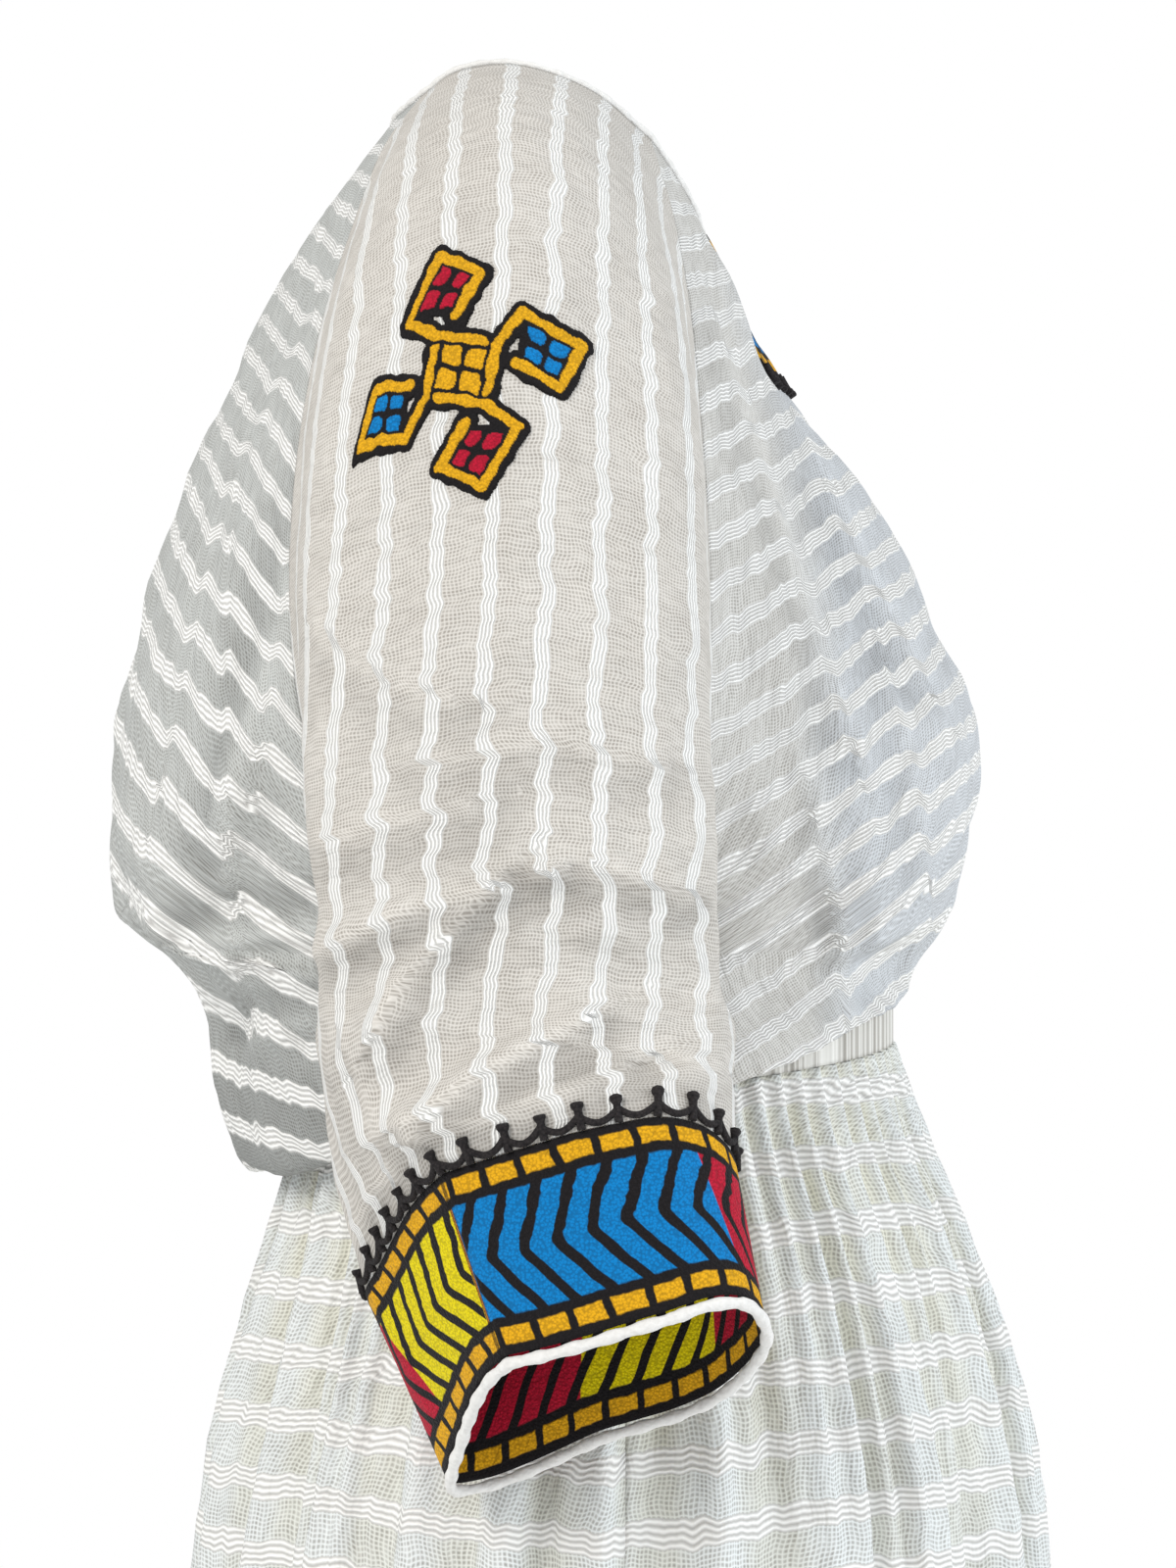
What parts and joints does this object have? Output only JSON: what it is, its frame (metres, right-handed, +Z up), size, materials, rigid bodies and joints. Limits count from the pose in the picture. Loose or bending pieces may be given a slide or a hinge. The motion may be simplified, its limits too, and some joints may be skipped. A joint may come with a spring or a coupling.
{
  "type": "habesha kemis dress",
  "caption": "Ankle-length hollow cotton dress with a bloused top, wide elbow-length sleeves with embroidered cuffs, a gathered waist casing and a full skirt, in its worn form.",
  "frame": {"origin": "between the shoulders at the base of the neck, where the dress hangs", "axes": "+Z up, -Y to the wearer's front, -X to the wearer's right"},
  "size_m": [0.6328, 0.5856, 1.3307],
  "materials": {
    "cotton": "sheer hand-woven cotton with thick rib stripes",
    "rolled_cotton": "rolled white cotton edge",
    "embroidery": "dense chain stitch in black, gold, blue, yellow and red"
  },
  "bodies": {
    "root": {"bodice_front": "cotton", "bodice_back": "cotton", "sleeve_right": "cotton", "sleeve_left": "cotton", "skirt_front": "cotton", "skirt_back": "cotton", "waist_casing": "cotton", "neck_roll": "rolled_cotton", "cuff_hem_right": "rolled_cotton", "cuff_hem_left": "rolled_cotton", "cuff_right": "embroidery", "cuff_left": "embroidery", "cross_right": "embroidery", "cross_left": "embroidery", "neck_bib": "embroidery"}
  },
  "joints": []
}
